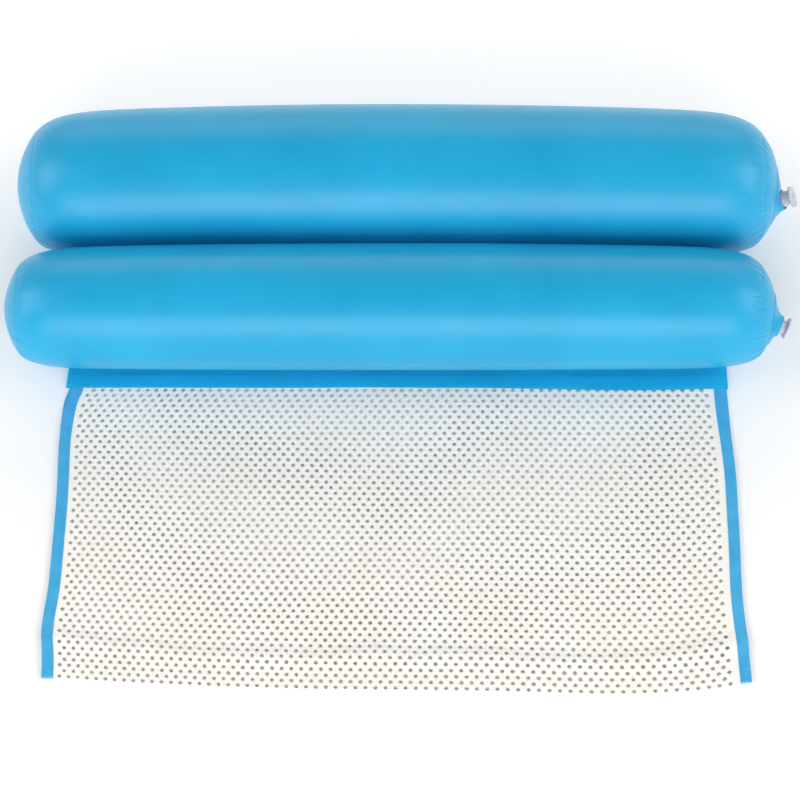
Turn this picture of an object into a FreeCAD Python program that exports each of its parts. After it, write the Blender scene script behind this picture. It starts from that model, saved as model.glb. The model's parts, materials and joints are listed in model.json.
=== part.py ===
import FreeCAD, Part
import Sketcher
import os

# A folding pool hammock: two inflatable PVC tubes, the head tube behind and the leg tube in
# front of it, joined by one long panel of perforated mesh.  It is stored folded: the panel runs
# forward from the head tube, under the leg tube, turns back on itself at the fold line and
# comes up to the leg tube.
#
# Frame: X along the tubes, +Y from the fold towards the head tube, Z up, in millimetres.
# The origin is on the floor under the middle of the whole object.

os.makedirs("parts", exist_ok=True)
doc = FreeCAD.newDocument("pool_hammock")

SIZES = {
    # the two tubes: one shape at two sizes
    "head_length": (710.0, "head tube, apex to apex"),
    "head_radius": (70.5, "head tube, radius at its middle"),
    "head_offset": (-6.0, "head tube, its middle along X"),
    "head_bow": (3.0, "head tube, how far its ends bend forward"),
    "leg_length": (704.0, "leg tube, apex to apex"),
    "leg_radius": (58.0, "leg tube, radius at its middle"),
    "leg_offset": (-13.4, "leg tube, its middle along X"),
    "leg_bow": (0.0, "leg tube, how far its ends bend forward"),
    "tube_wall": (0.4, "thickness of the PVC film"),
    "tube_gap": (0.6, "space between the two tubes"),
    # taper of the sleeve, as shares of the tube's radius
    "seam_inset": (0.29, "ring where an end cap is welded on, from the apex"),
    "barrel_taper": (0.05, "radius lost from the middle to the ends, spread over the length"),
    "end_taper": (0.175, "radius lost close to the ends"),
    "end_sink": (0.05, "how far the ends sink more than the long barrel does"),
    "end_power": (18.0, "how sharply the shoulder turns in, as a power of the distance"),
    # layers, from the floor up
    "tape_ply": (0.4, "thickness of one ply of binding or strip"),
    "mesh_thickness": (0.6, "thickness of the mesh fabric"),
    "layer_gap": (0.3, "space between the lower and the upper layer"),
    # the mesh panel
    "fold_place": (-272.0, "fold line, along Y"),
    "mesh_offset": (-9.0, "middle of the mesh along X"),
    "fold_width": (616.0, "width over the bindings at the fold"),
    "strip_width": (604.0, "width over the bindings at the strips"),
    "binding_width": (10.5, "width of the edge binding"),
    "fold_clearance": (0.4, "how far the upper layer starts behind the fold line"),
    "leg_reach": (346.0, "fold line to the leg tube's axis"),
    # strips between mesh and tubes
    "strip_reach": (54.0, "front edge of a strip to the axis of its tube"),
    "strip_length": (609.0, "length of a strip along X"),
    "strip_lap": (12.0, "how far the mesh goes in between the two plies"),
    "strip_step": (4.0, "length over which the two plies close behind the mesh"),
    "head_strip_back": (16.0, "rear edge of the head strip to the head tube's axis"),
    "leg_strip_back": (11.4, "rear edge of the leg strip to the leg tube's axis"),
    "seam_clearance": (1.3, "rear edge of the leg strip to the leg tube's skin"),
    "tab_ply": (0.5, "thickness of the weld tab on a tube"),
    "tab_width": (10.0, "width of the weld tab"),
    "tab_height": (8.0, "height of the zone that the weld tab is cut from"),
    # stitching
    "stitch_length": (3.4, "length of one stitch"),
    "stitch_pitch": (5.8, "stitch to stitch"),
    "stitch_thread": (0.5, "width of a stitch"),
    "stitch_height": (0.15, "how far a stitch stands out of the fabric"),
    "stitch_margin": (3.0, "stitch row to the edge of its tape"),
    # valves
    "seat_radius": (15.0, "foot of the valve skirt on the end cap"),
    "seat_sink": (3.0, "how far the foot of the skirt sits inside the cap"),
    "seat_forward": (15.0, "valve seat in front of the end ring's centre"),
    "skirt_height": (5.5, "end cap to collar"),
    "skirt_wall": (0.9, "wall of the skirt"),
    "collar_radius": (9.0, "outer radius of the skirt at its collar"),
    "stem_play": (0.4, "space between stem and collar"),
    "stem_neck": (6.3, "outer radius of the stem at its neck"),
    "stem_bore": (4.5, "radius of the air bore"),
    "stem_lip": (7.2, "outer radius of the stem's lip"),
    "stem_depth": (8.0, "part of the stem that is inside the collar when it is fully out"),
    "stem_rim": (8.7, "outer radius of the stem's inner rim"),
    "rim_height": (1.0, "height of that rim"),
    "rim_slope": (0.6, "height of the slope from the rim to the stem's wall"),
    "lip_height": (0.8, "height of the stem's lip"),
    "stem_top": (7.8, "part of the stem that is outside the collar when it is fully out"),
    "head_push": (0.0, "how far the head stem is pushed in already"),
    "leg_push": (2.4, "how far the leg stem is pushed in already"),
    "plug_radius": (10.0, "radius of the plug's disc"),
    "plug_disc": (2.0, "thickness of the plug's disc"),
    "disc_bevel": (0.6, "bevel round the outer face of the disc"),
    "plug_spigot": (6.0, "length of the plug's spigot"),
    "spigot_lead": (1.5, "length of the spigot's tapered end"),
    "spigot_taper": (0.4, "radius lost over that end"),
    "plug_play": (0.1, "space between spigot and bore, and between disc and lip"),
    "tether_width": (3.0, "width of the strap that keeps the plug"),
    "tether_ply": (0.8, "thickness of that strap"),
    "tether_drop": (1.6, "top of the stem down to the strap's lower end"),
    "tether_rise": (1.2, "foot of the disc up to the strap's upper face"),
    "tether_out": (2.2, "rim of the disc to the bend of the strap"),
    "tether_corner": (1.0, "bevel of the strap's bend"),
    "flap_radius": (5.6, "radius of the check flap"),
    "flap_ply": (0.5, "thickness of the check flap"),
    "head_tilt_up": (30.0, "degrees that the head valve leans up"),
    "head_tilt_front": (0.5, "degrees that the head valve leans forward"),
    "leg_tilt_up": (-8.5, "degrees that the leg valve leans up"),
    "leg_tilt_front": (18.0, "degrees that the leg valve leans forward"),
}

sheet = doc.addObject("Spreadsheet::Sheet", "Sizes")
for row, (alias, (value, meaning)) in enumerate(SIZES.items(), start=1):
    sheet.set(f"A{row}", meaning)
    sheet.set(f"B{row}", str(value))
    sheet.setAlias(f"B{row}", alias)
doc.recompute()

finished = []


# ---------------------------------------------------------------- helpers

def named(expression):
    """Write each size's name in an expression as a cell of the sheet."""
    words = []
    word = ""
    for letter in expression + " ":
        if letter.isalnum() or letter in "_.":
            word += letter
            continue
        words.append("Sizes." + word if word in SIZES else word)
        words.append(letter)
        word = ""
    return "".join(words).strip()


def number(expression):
    """The value of an expression in millimetres or degrees."""
    value = sheet.evalExpression(named(expression))
    return float(getattr(value, "Value", value))


def bind(thing, **expressions):
    for name, expression in expressions.items():
        thing.setExpression(name, named(expression))
    return thing


def primitive(kind, name, place=None, **expressions):
    thing = bind(doc.addObject(f"Part::{kind}", name), **expressions)
    if place:
        thing.Placement = place
    return thing


def at(x, y, z, rotation=None):
    point = FreeCAD.Vector(number(x), number(y), number(z))
    return FreeCAD.Placement(point, rotation or FreeCAD.Rotation())


def boolean(kind, name, base, tool):
    thing = doc.addObject(f"Part::{kind}", name)
    thing.Base = base
    thing.Tool = tool
    return thing


def finish(thing, label, place=None):
    """Name a sub-part, put it in its place and keep it for export."""
    thing.Label = label
    if place:
        thing.Placement = place
    finished.append(thing)
    return thing


def outline(body, name, plane, corners):
    """A closed straight-edged sketch whose corners are pairs of expressions."""
    sketch = body.newObject("Sketcher::SketchObject", name)
    origin_plane = next(f for f in body.Origin.OriginFeatures if f.Role == plane)
    sketch.AttachmentSupport = [(origin_plane, "")]
    sketch.MapMode = "FlatFace"
    points = [FreeCAD.Vector(number(u), number(v), 0) for u, v in corners]
    count = len(points)
    for i in range(count):
        sketch.addGeometry(Part.LineSegment(points[i], points[(i + 1) % count]))
    for i in range(count):
        sketch.addConstraint(Sketcher.Constraint("Coincident", i, 2, (i + 1) % count, 1))
    for i, corner in enumerate(corners):
        for axis, kind, expression in ((-2, "DistanceX", corner[0]), (-1, "DistanceY", corner[1])):
            if expression == "0":
                sketch.addConstraint(Sketcher.Constraint("PointOnObject", i, 1, axis))
                continue
            constraint = Sketcher.Constraint(kind, -1, 1, i, 1, number(expression))
            index = sketch.addConstraint(constraint)
            sketch.setExpression(f"Constraints[{index}]", named(expression))
    return sketch


def turned(name, corners):
    """A body turned about Z from an outline in the XZ plane."""
    body = doc.addObject("PartDesign::Body", name)
    sketch = outline(body, name + "_outline", "XZ_Plane", corners)
    turning = body.newObject("PartDesign::Revolution", name + "_turning")
    turning.Profile = sketch
    turning.ReferenceAxis = (sketch, ["V_Axis"])
    turning.Angle = 360
    return body


def along_x(name, corners, length):
    """A body with one section in the YZ plane all along X, middle at the origin."""
    body = doc.addObject("PartDesign::Body", name)
    sketch = outline(body, name + "_section", "YZ_Plane", corners)
    pad = body.newObject("PartDesign::Pad", name + "_pad")
    pad.Profile = sketch
    pad.Midplane = True
    bind(pad, Length=length)
    return body


# ---------------------------------------------------------------- heights of the layers

LOWER_MIDDLE = "(tape_ply + mesh_thickness / 2)"
LAYER_STEP = "(2 * tape_ply + mesh_thickness + layer_gap)"
UPPER_MIDDLE = f"({LOWER_MIDDLE} + {LAYER_STEP})"
FOLD_HEIGHT = f"(({LOWER_MIDDLE} + {UPPER_MIDDLE}) / 2)"

LEG_AXIS_Y = "(fold_place + leg_reach)"
LEG_SEAM_RISE = "sqrt(pow(leg_radius + seam_clearance; 2) - pow(leg_strip_back; 2))"
LEG_AXIS_Z = f"({UPPER_MIDDLE} + {LEG_SEAM_RISE})"
HEAD_AXIS_Z = "head_radius"
AXIS_DISTANCE = "(head_radius + leg_radius + tube_gap)"
HEAD_AXIS_Y = f"({LEG_AXIS_Y} + sqrt(pow({AXIS_DISTANCE}; 2) - pow({LEG_AXIS_Z} - {HEAD_AXIS_Z}; 2)))"

AXIS_Y = {"head": HEAD_AXIS_Y, "leg": LEG_AXIS_Y}
AXIS_Z = {"head": HEAD_AXIS_Z, "leg": LEG_AXIS_Z}
LAYER_MIDDLE = {"head": LOWER_MIDDLE, "leg": UPPER_MIDDLE}


# ---------------------------------------------------------------- the inflated tubes

FACING_X = FreeCAD.Rotation(FreeCAD.Vector(0, 0, 1), FreeCAD.Vector(1, 0, 0))
RING_STEPS = 8
SEAM_RATIO = "(1 - barrel_taper - end_taper)"


def sleeve_end(tube):
    return f"({tube}_length / 2 - seam_inset * {tube}_radius)"


def ring_at(tube, share):
    """Centre and radius of the sleeve at a share, -1 to 1, of the way to its end rings."""
    taper = f"(barrel_taper * pow({share}; 2) + end_taper * pow(abs({share}); end_power))"
    sink = f"(barrel_taper * pow({share}; 2) + end_sink * pow(abs({share}); end_power))"
    centre = (
        f"({share}) * {sleeve_end(tube)}",
        f"(-1) * {tube}_bow * pow({share}; 2)",
        f"(-1) * {tube}_radius * {sink}",
    )
    return centre, f"{tube}_radius * (1 - {taper})"


def barrel(tube, name, grow):
    """The inflated sleeve as a solid: rings joined smoothly, closer together towards the ends."""
    rings = []
    for step in range(-RING_STEPS, RING_STEPS + 1):
        centre, radius = ring_at(tube, f"sin({90 * step / RING_STEPS} deg)")
        ring = primitive("Circle", f"{name}_ring_{step + RING_STEPS}", at(*centre, FACING_X),
                         Radius=f"{radius} + {grow}")
        rings.append(ring)
    solid = doc.addObject("Part::Loft", name)
    solid.Sections = rings
    solid.Solid = True
    solid.Ruled = False
    return solid


def dome_radius(tube):
    """Radius of the ball whose cap has the seam ring's width and reaches the tube's apex."""
    return f"{tube}_radius * (pow({SEAM_RATIO}; 2) + pow(seam_inset; 2)) / (2 * seam_inset)"


def end_cap(tube, side, name):
    """A thin spherical cap that bulges out of the seam ring."""
    ball = dome_radius(tube)
    (along, bow, drop), _ = ring_at(tube, side)
    sink = f"({side}) * ({ball} - seam_inset * {tube}_radius)"
    facing = FreeCAD.Rotation(FreeCAD.Vector(0, 0, 1), FreeCAD.Vector(number(side), 0, 0))
    place = at(f"{along} - {sink}", bow, drop, facing)
    latitude = f"acos({SEAM_RATIO} * {tube}_radius / ({ball}))"
    outside = primitive("Sphere", name + "_outside", place, Radius=ball, Angle1=latitude)
    inside = primitive("Sphere", name + "_inside", place, Radius=f"{ball} - tube_wall")
    return boolean("Cut", name + "_shell", outside, inside)


def valve_frame(tube):
    """The collar's centre and the stem's direction, in the tube's own frame; local Z points out."""
    (along, bow, drop), _ = ring_at(tube, "1")
    ball = number(dome_radius(tube))
    forward = number("seat_forward")
    centre = FreeCAD.Vector(number(along), number(bow), number(drop))
    centre.x -= ball - number(f"seam_inset * {tube}_radius")
    outward = FreeCAD.Vector((ball * ball - forward * forward) ** 0.5, -forward, 0).normalize()
    seat = centre + outward * ball
    lean_up = FreeCAD.Rotation(FreeCAD.Vector(0, 1, 0), -number(f"{tube}_tilt_up"))
    lean_front = FreeCAD.Rotation(FreeCAD.Vector(0, 0, 1), -number(f"{tube}_tilt_front"))
    turn = lean_front.multiply(lean_up).multiply(FACING_X)
    stem_axis = turn.multVec(FreeCAD.Vector(0, 0, 1))
    collar = seat + stem_axis * number("skirt_height")
    foot = FreeCAD.Placement(seat - outward * number("seat_sink"),
                             FreeCAD.Rotation(FreeCAD.Vector(0, 0, 1), outward))
    return FreeCAD.Placement(collar, turn), foot


def skirt_cone(tube, name, thinner):
    """The soft cone from the end cap to the collar, as a solid."""
    collar, foot = valve_frame(tube)
    low = primitive("Circle", name + "_foot", foot, Radius=f"seat_radius - {thinner}")
    high = primitive("Circle", name + "_collar", collar, Radius=f"collar_radius - {thinner}")
    cone = doc.addObject("Part::Loft", name)
    cone.Sections = [low, high]
    cone.Solid = True
    cone.Ruled = True
    return cone


STEM_WALL = "(collar_radius - skirt_wall - stem_play)"
NECK_START = "(stem_top * 0.2)"
NECK_END = "(stem_top * 0.7)"


def stem(tube):
    """The clear valve stem, turned about its own axis; Z = 0 is at the collar when fully out."""
    foot = "(-1) * stem_depth"
    return turned(f"{tube}_stem", [
        ("stem_bore", foot),
        ("stem_rim", foot),
        ("stem_rim", f"{foot} + rim_height"),
        (STEM_WALL, f"{foot} + rim_height + rim_slope"),
        (STEM_WALL, NECK_START),
        ("stem_neck", NECK_END),
        ("stem_lip", "stem_top - lip_height"),
        ("stem_lip", "stem_top"),
        ("stem_bore", "stem_top"),
    ])


def plug(tube):
    """The stopper: a flat disc with a tapered spigot in the stem's bore."""
    spigot = "stem_bore - plug_play"
    tip = "stem_top - plug_spigot"
    seat = "stem_top + plug_play"
    face = f"{seat} + plug_disc"
    return turned(f"{tube}_plug", [
        ("0", tip),
        (f"{spigot} - spigot_taper", tip),
        (spigot, f"{tip} + spigot_lead"),
        (spigot, seat),
        ("plug_radius", seat),
        ("plug_radius", f"{face} - disc_bevel"),
        ("plug_radius - disc_bevel", face),
        ("0", face),
    ])


def tether(tube):
    """The strap from the stem's neck to the rim of the plug, bent like a hairpin."""
    body = doc.addObject("PartDesign::Body", f"{tube}_tether")
    on_stem = "stem_lip + plug_play"
    on_disc = "plug_radius + plug_play"
    bend = f"{on_disc} + tether_out"
    low = "stem_top - tether_drop"
    top = "stem_top + plug_play + tether_rise"
    in_bend = f"{bend} - tether_ply"
    in_low = f"{low} + tether_ply"
    in_top = f"{top} - tether_ply"
    corners = [
        (on_stem, low),
        (f"{bend} - tether_corner", low),
        (bend, f"{low} + tether_corner"),
        (bend, f"{top} - tether_corner"),
        (f"{bend} - tether_corner", top),
        (on_disc, top),
        (on_disc, in_top),
        (f"{in_bend} - tether_corner / 2", in_top),
        (in_bend, f"{in_top} - tether_corner / 2"),
        (in_bend, f"{in_low} + tether_corner / 2"),
        (f"{in_bend} - tether_corner / 2", in_low),
        (on_stem, in_low),
    ]
    sketch = outline(body, f"{tube}_tether_section", "XZ_Plane", corners)
    pad = body.newObject("PartDesign::Pad", f"{tube}_tether_pad")
    pad.Profile = sketch
    pad.Midplane = True
    bind(pad, Length="tether_width")
    return body


def valve(tube, tube_place):
    """Stem, plug, tether and check flap on the axis of the tube's right-hand cap."""
    collar, _ = valve_frame(tube)
    pushed_in = at("0", "0", f"(-1) * {tube}_push")
    place = tube_place.multiply(collar).multiply(pushed_in)
    finish(stem(tube), f"{tube}_valve_stem", place)
    finish(plug(tube), f"{tube}_valve_plug", place)
    finish(tether(tube), f"{tube}_plug_tether", place)
    flap = primitive("Cylinder", f"{tube}_flap", Radius="flap_radius", Height="flap_ply")
    below_rim = at("0", "0", "(-1) * (stem_depth + plug_play + flap_ply)")
    finish(flap, f"{tube}_check_flap", place.multiply(below_rim))


def weld_tab(tube):
    """The band of film welded on the sleeve, just where the strip leaves it."""
    thicker = barrel(tube, f"{tube}_tab_barrel", "tab_ply")
    sleeve = barrel(tube, f"{tube}_tab_core", "0")
    band = boolean("Cut", f"{tube}_tab_band", thicker, sleeve)
    corner = at(f"mesh_offset - {tube}_offset - strip_length / 2",
                f"(-1) * ({tube}_strip_back + tab_width / 2)",
                f"(-1) * {tube}_radius - tab_ply")
    zone = primitive("Box", f"{tube}_tab_zone", corner,
                     Length="strip_length", Width="tab_width", Height="tab_height")
    return boolean("Common", f"{tube}_tab", band, zone)


def tube_parts(tube):
    place = at(f"{tube}_offset", AXIS_Y[tube], AXIS_Z[tube])
    outside = barrel(tube, f"{tube}_outside", "0")
    inside = barrel(tube, f"{tube}_inside", "(-1) * tube_wall")
    finish(boolean("Cut", f"{tube}_sleeve_shell", outside, inside), f"{tube}_sleeve", place)

    finish(end_cap(tube, "-1", f"{tube}_left"), f"{tube}_cap_left", place)
    right = end_cap(tube, "1", f"{tube}_right")
    opening = skirt_cone(tube, f"{tube}_opening", "0")
    finish(boolean("Cut", f"{tube}_right_open", right, opening), f"{tube}_cap_right", place)

    outer_cone = skirt_cone(tube, f"{tube}_skirt_outside", "0")
    inner_cone = skirt_cone(tube, f"{tube}_skirt_inside", "skirt_wall")
    finish(boolean("Cut", f"{tube}_skirt", outer_cone, inner_cone), f"{tube}_valve_skirt", place)
    valve(tube, place)
    finish(weld_tab(tube), f"{tube}_weld_tab", place)


# ---------------------------------------------------------------- strips between mesh and tubes

def strip_ply(tube, name, up):
    """One ply: flat over the mesh edge, then stepped to the middle, where the two plies meet."""
    front = "(-1) * strip_reach"
    back = f"(-1) * {tube}_strip_back"
    lap_end = "strip_lap - strip_reach"
    step_end = "strip_lap + strip_step - strip_reach"
    half_mesh = f"({up}) * mesh_thickness / 2"
    over_mesh = f"({up}) * (mesh_thickness / 2 + tape_ply)"
    one_ply = f"({up}) * tape_ply"
    return along_x(name, [
        (front, half_mesh),
        (front, over_mesh),
        (lap_end, over_mesh),
        (step_end, one_ply),
        (back, one_ply),
        (back, "0"),
        (step_end, "0"),
        (lap_end, half_mesh),
    ], "strip_length")


def stitch_row(length, thread_along_x):
    """A row of separate stitches, centred on the origin, standing on Z = 0."""
    pitch = number("stitch_pitch")
    size = [number("stitch_length"), number("stitch_thread")]
    if not thread_along_x:
        size.reverse()
    count = int(length / pitch)
    stitches = []
    for i in range(count):
        along = (i - (count - 1) / 2) * pitch
        x, y = (along, 0) if thread_along_x else (0, along)
        corner = FreeCAD.Vector(x - size[0] / 2, y - size[1] / 2, 0)
        stitches.append(Part.makeBox(size[0], size[1], number("stitch_height"), corner))
    return stitches


def strip_parts(tube):
    middle = LAYER_MIDDLE[tube]
    place = at("mesh_offset", AXIS_Y[tube], middle)
    finish(strip_ply(tube, f"{tube}_top_ply", "1"), f"{tube}_strip_top", place)
    finish(strip_ply(tube, f"{tube}_bottom_ply", "-1"), f"{tube}_strip_bottom", place)

    stitches = []
    for inset in ("stitch_margin", "strip_lap - stitch_margin"):
        row = stitch_row(number("strip_length - 2 * stitch_margin"), True)
        shift = at("0", f"{inset} - strip_reach", "mesh_thickness / 2 + tape_ply").Base
        for stitch in row:
            stitch.translate(shift)
        stitches += row
    group = doc.addObject("Part::Feature", f"{tube}_stitching")
    group.Shape = Part.makeCompound(stitches)
    finish(group, f"{tube}_strip_stitches", place)


# ---------------------------------------------------------------- mesh panel and its bindings

LAYER_START = {"lower": "0", "upper": "fold_clearance"}
LAYER_LENGTH = {
    "lower": f"({HEAD_AXIS_Y} - strip_reach - fold_place)",
    "upper": "(leg_reach - strip_reach)",
}
LAYER_HEIGHT = {"lower": LOWER_MIDDLE, "upper": UPPER_MIDDLE}


def half_width_at(layer, along):
    """Half the width over the bindings, at a distance behind the fold line."""
    return f"(fold_width / 2 - (fold_width - strip_width) / 2 * ({along}) / {LAYER_LENGTH[layer]})"


def slab(layer, name, start, end, left, right, half_thick):
    """A flat piece between two edges, each given as a function of the distance behind the fold."""
    return primitive(
        "Wedge", name, None,
        Ymin=start, Ymax=end,
        Xmin=left(start), Xmax=right(start), X2min=left(end), X2max=right(end),
        Zmin=f"(-1) * ({half_thick})", Zmax=half_thick,
        Z2min=f"(-1) * ({half_thick})", Z2max=half_thick)


def mesh_slab(layer, name):
    start = LAYER_START[layer]
    end = f"{LAYER_LENGTH[layer]} + strip_lap"
    edge = lambda along: f"({half_width_at(layer, along)} - tape_ply)"
    return slab(layer, name, start, end, lambda a: "(-1) * " + edge(a), edge, "mesh_thickness / 2")


def binding(layer, name, side):
    """A tape folded round the edge of the mesh: a bar with the mesh's slot cut out of it."""
    outer = lambda along: f"({side}) * {half_width_at(layer, along)}"
    inner = lambda along: f"({side}) * ({half_width_at(layer, along)} - binding_width)"
    left, right = (outer, inner) if side == "-1" else (inner, outer)
    bar = slab(layer, name + "_bar", LAYER_START[layer], LAYER_LENGTH[layer], left, right,
               "mesh_thickness / 2 + tape_ply")
    return boolean("Cut", name, bar, mesh_slab(layer, name + "_slot"))


def fold_ring(name, inner, outer, left, right):
    """Half a tube round the fold line, on the side away from the tubes."""
    length = f"{right} - ({left})"
    turn = FreeCAD.Rotation(FreeCAD.Vector(0, 0, 1), FreeCAD.Vector(0, -1, 0), FreeCAD.Vector(1, 0, 0))
    around = FreeCAD.Placement(FreeCAD.Vector(number(left), 0, 0), turn)
    body = primitive("Cylinder", name + "_body", around, Radius=outer, Height=length, Angle="180")
    core = primitive("Cylinder", name + "_core", around, Radius=inner, Height=length)
    return boolean("Cut", name, body, core)


def panel_parts():
    for layer in ("lower", "upper"):
        place = at("mesh_offset", "fold_place", LAYER_HEIGHT[layer])
        finish(mesh_slab(layer, f"{layer}_mesh"), f"mesh_{layer}", place)
        stitches = []
        for side, side_name in (("-1", "left"), ("1", "right")):
            name = f"binding_{layer}_{side_name}"
            finish(binding(layer, f"{layer}_{side_name}_tape", side), name, place)
            stitches += binding_stitches(layer, side)
        group = doc.addObject("Part::Feature", f"{layer}_stitching")
        group.Shape = Part.makeCompound(stitches)
        finish(group, f"binding_{layer}_stitches", place)

    fold = at("mesh_offset", "fold_place", FOLD_HEIGHT)
    mesh_inner = f"({LAYER_STEP} - mesh_thickness) / 2"
    mesh_outer = f"({LAYER_STEP} + mesh_thickness) / 2"
    mesh_right = "(fold_width / 2 - tape_ply)"
    mesh_left = f"(-1) * {mesh_right}"
    finish(fold_ring("bight", mesh_inner, mesh_outer, mesh_left, mesh_right), "mesh_fold", fold)
    tape_inner = f"{mesh_inner} - tape_ply"
    tape_outer = f"{mesh_outer} + tape_ply"
    for side_name, left, right in (
            ("left", "(-1) * fold_width / 2", "binding_width - fold_width / 2"),
            ("right", "fold_width / 2 - binding_width", "fold_width / 2")):
        tape = fold_ring(f"{side_name}_turn", tape_inner, tape_outer, left, right)
        slot = fold_ring(f"{side_name}_turn_slot", mesh_inner, mesh_outer, mesh_left, mesh_right)
        turned_tape = boolean("Cut", f"{side_name}_turn_tape", tape, slot)
        finish(turned_tape, f"binding_fold_{side_name}", fold)


def binding_stitches(layer, side):
    """One row of stitches along the inner edge of a binding, following its slight slant."""
    length = number(f"{LAYER_LENGTH[layer]} - 2 * stitch_margin")
    top = number("mesh_thickness / 2 + tape_ply")
    inset = number("binding_width - stitch_margin")
    row = stitch_row(length, False)
    for stitch in row:
        middle = number(f"{LAYER_LENGTH[layer]} / 2")
        along = middle + stitch.BoundBox.Center.y
        across = number(side) * (number(half_width_at(layer, str(along))) - inset)
        stitch.translate(FreeCAD.Vector(across, middle, top))
    return row


# ---------------------------------------------------------------- build, test and write

for tube_name in ("head", "leg"):
    tube_parts(tube_name)
    strip_parts(tube_name)
panel_parts()
doc.recompute()

for thing in doc.Objects:
    if "Invalid" in thing.State or "Error" in thing.State:
        raise RuntimeError(f"{thing.Name} did not build: {thing.State}")

whole = FreeCAD.BoundBox()
for thing in finished:
    shape = thing.Shape
    if shape.isNull() or not shape.isValid() or shape.Volume <= 0:
        raise RuntimeError(f"{thing.Label} has no valid shape")
    whole.add(shape.BoundBox)
    print(f"{thing.Label:26s} {shape.Volume / 1000:9.3f} cm3  solids {len(shape.Solids)}")
    shape.exportStep(f"parts/{thing.Label}.step")
print("box", whole)
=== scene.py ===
"""Looks of a folding pool hammock: two inflated tubes, a perforated mesh panel folded under the
smaller one, strips, edge bindings and push-in valves."""
import json
import math

import bpy
import numpy as np
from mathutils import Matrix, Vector


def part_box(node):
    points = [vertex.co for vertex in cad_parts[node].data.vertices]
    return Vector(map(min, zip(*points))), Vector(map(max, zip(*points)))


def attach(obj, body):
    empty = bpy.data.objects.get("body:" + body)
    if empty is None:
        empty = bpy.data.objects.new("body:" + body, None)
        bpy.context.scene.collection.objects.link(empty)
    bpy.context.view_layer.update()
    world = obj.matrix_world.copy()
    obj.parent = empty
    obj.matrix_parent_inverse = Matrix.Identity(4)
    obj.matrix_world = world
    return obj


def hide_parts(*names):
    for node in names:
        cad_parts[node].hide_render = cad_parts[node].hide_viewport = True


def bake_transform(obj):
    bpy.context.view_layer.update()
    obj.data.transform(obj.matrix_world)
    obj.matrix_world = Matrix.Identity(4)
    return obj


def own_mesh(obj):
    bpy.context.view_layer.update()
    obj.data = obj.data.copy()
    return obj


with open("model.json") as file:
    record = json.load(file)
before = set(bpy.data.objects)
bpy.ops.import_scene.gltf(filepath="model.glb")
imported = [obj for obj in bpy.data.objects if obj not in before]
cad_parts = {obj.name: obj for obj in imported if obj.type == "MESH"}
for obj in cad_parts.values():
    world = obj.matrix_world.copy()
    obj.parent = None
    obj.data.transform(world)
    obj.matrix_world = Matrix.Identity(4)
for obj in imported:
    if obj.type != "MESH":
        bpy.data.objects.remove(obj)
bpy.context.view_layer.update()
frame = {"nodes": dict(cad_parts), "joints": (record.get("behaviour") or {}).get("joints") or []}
MM = 0.001
JOINTS = {joint["name"]: joint for joint in frame["joints"]}


# -------- materials

NOISE_LOW, NOISE_HIGH = 0.3, 0.7  # where nearly all of a noise texture's values lie


class Finish:
    """A node material on one Principled shader, with helpers that add texture nodes to it."""

    def __init__(self, name, **sockets):
        self.material = bpy.data.materials.new(name)
        self.material.use_nodes = True
        self.tree = self.material.node_tree
        self.shader = self.tree.nodes["Principled BSDF"]
        for socket, value in sockets.items():
            self.shader.inputs[socket.replace("_", " ")].default_value = value
        self.place = self.tree.nodes.new("ShaderNodeTexCoord").outputs["Object"]

    def node(self, kind, sockets=(), **settings):
        made = self.tree.nodes.new(kind)
        for key, value in settings.items():
            setattr(made, key, value)
        for socket, value in dict(sockets).items():
            if isinstance(value, bpy.types.NodeSocket):
                self.tree.links.new(value, made.inputs[socket])
            else:
                made.inputs[socket].default_value = value
        return made

    def noise(self, scale, detail=2.0, roughness=0.5):
        sockets = {"Vector": self.place, "Scale": scale, "Detail": detail, "Roughness": roughness}
        return self.node("ShaderNodeTexNoise", sockets).outputs["Fac"]

    def wave(self, direction, period, distortion=0.0):
        """Even bands; at scale 1 a wave texture repeats every pi / 10 metres."""
        sockets = {"Vector": self.place, "Scale": math.pi / 10 / period, "Distortion": distortion,
                   "Detail": 0.0}
        made = self.node("ShaderNodeTexWave", sockets, wave_type="BANDS", bands_direction=direction)
        return made.outputs["Fac"]

    def maths(self, operation, a, b):
        return self.node("ShaderNodeMath", {0: a, 1: b}, operation=operation).outputs[0]

    def span(self, value, from_low, from_high, low, high):
        sockets = {"Value": value, "From Min": from_low, "From Max": from_high, "To Min": low,
                   "To Max": high}
        return self.node("ShaderNodeMapRange", sockets).outputs["Result"]

    def colours(self, noise, first, second):
        """Base colour that wanders between two colours."""
        ramp = self.node("ShaderNodeValToRGB", {"Fac": noise})
        ends = ((NOISE_LOW, first), (NOISE_HIGH, second))
        for element, (position, colour) in zip(ramp.color_ramp.elements, ends):
            element.position = position
            element.color = (*colour, 1)
        self.tree.links.new(ramp.outputs["Color"], self.shader.inputs["Base Color"])

    def roughness(self, noise, low, high):
        wandering = self.span(noise, NOISE_LOW, NOISE_HIGH, low, high)
        self.tree.links.new(wandering, self.shader.inputs["Roughness"])

    def bumps(self, *layers):
        """Stack bumps, each given as height, distance in metres and strength."""
        below = None
        for height, distance, strength in layers:
            sockets = {"Height": height, "Distance": distance, "Strength": strength}
            if below:
                sockets["Normal"] = below
            below = self.node("ShaderNodeBump", sockets).outputs["Normal"]
        self.tree.links.new(below, self.shader.inputs["Normal"])


def film_finish(name, dark, light, smooth, rough):
    """Satin PVC film: slightly uneven colour and gloss, fine calendered grain."""
    film = Finish(name, Specular_IOR_Level=0.4)
    film.colours(film.noise(11.0, 3.0), dark, light)
    film.roughness(film.noise(45.0, 2.0), smooth, rough)
    film.bumps((film.noise(160.0, 2.0), 0.0006, 0.16), (film.noise(2400.0, 1.0), 0.00004, 0.5))
    return film.material


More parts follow.
